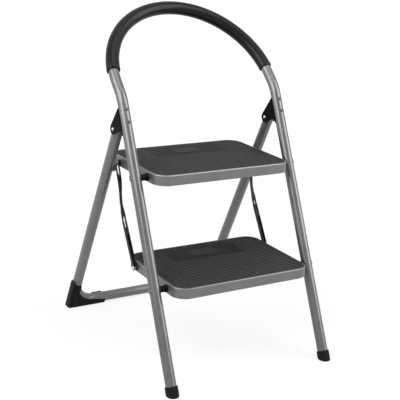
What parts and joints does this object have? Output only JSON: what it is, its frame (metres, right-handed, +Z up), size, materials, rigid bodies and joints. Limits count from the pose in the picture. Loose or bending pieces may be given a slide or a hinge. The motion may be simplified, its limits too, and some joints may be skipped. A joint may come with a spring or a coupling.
{
  "type": "step stool",
  "caption": "Folding step stool: leaning tubular front frame with a padded hoop handle, hinged rear frame, and wide ribbed treads tied by side links.",
  "frame": {"origin": "on the floor, in the middle of the open stool's bounding box", "axes": "+X to the right, +Y to the rear (steps face -Y), +Z up"},
  "size_m": [0.4514, 0.5716, 0.7993],
  "materials": {
    "frame_paint": "satin grey powder coat over steel tube",
    "tray_paint": "satin grey powder coat over pressed steel",
    "black_paint": "black powder coat over pressed steel",
    "black_plastic": "matt black moulded plastic",
    "black_rubber": "matt black ribbed rubber",
    "grip_foam": "matt black foam sleeve",
    "rivet_steel": "bright zinc-plated steel"
  },
  "bodies": {
    "front_frame": {"front_tube": "frame_paint", "grip": "grip_foam", "front_foot_left": "black_rubber", "front_foot_right": "black_rubber", "hinge_bracket_left": "black_paint", "hinge_bracket_right": "black_paint", "bracket_rivets": "rivet_steel", "hinge_pins": "rivet_steel", "step_bushes": "black_plastic", "step_axles": "frame_paint"},
    "rear_frame": {"rear_tube": "frame_paint", "rear_foot_left": "black_plastic", "rear_foot_right": "black_plastic", "saddle_left": "frame_paint", "saddle_right": "frame_paint", "saddle_rivets": "frame_paint"},
    "upper_step": {"upper_tray": "tray_paint", "upper_mat": "black_rubber", "upper_link_pins": "rivet_steel", "upper_link_spacers": "black_plastic"},
    "lower_step": {"lower_tray": "tray_paint", "lower_mat": "black_rubber", "lower_link_pins": "rivet_steel", "lower_link_spacers": "black_plastic"},
    "left_link": {"link_left": "black_paint"},
    "right_link": {"link_right": "black_paint"}
  },
  "joints": [
    {"name": "rear_frame_fold", "type": "hinge", "parent": "front_frame", "child": "rear_frame", "pos_m": [0, 0.02574, 0.53199], "axis": [-1, 0, 0], "range_deg": [0, 49.8]},
    {"name": "upper_step_fold", "type": "hinge", "parent": "front_frame", "child": "upper_step", "pos_m": [0, -0.06591, 0.43956], "axis": [1, 0, 0], "range_deg": [0, 65]},
    {"name": "lower_step_fold", "type": "hinge", "parent": "front_frame", "child": "lower_step", "pos_m": [0, -0.1722, 0.21162], "axis": [1, 0, 0], "range_deg": [0, 65]},
    {"name": "left_link_turn", "type": "hinge", "parent": "upper_step", "child": "left_link", "pos_m": [-0.18545, 0.07459, 0.43856], "axis": [-1, 0, 0], "range_deg": [0, 65]},
    {"name": "right_link_turn", "type": "hinge", "parent": "upper_step", "child": "right_link", "pos_m": [0.18545, 0.07459, 0.43856], "axis": [-1, 0, 0], "range_deg": [0, 65]}
  ],
  "couplings": [
    {"joint": "lower_step_fold", "follows": "upper_step_fold", "ratio": 1},
    {"joint": "left_link_turn", "follows": "upper_step_fold", "ratio": 1},
    {"joint": "right_link_turn", "follows": "upper_step_fold", "ratio": 1}
  ]
}
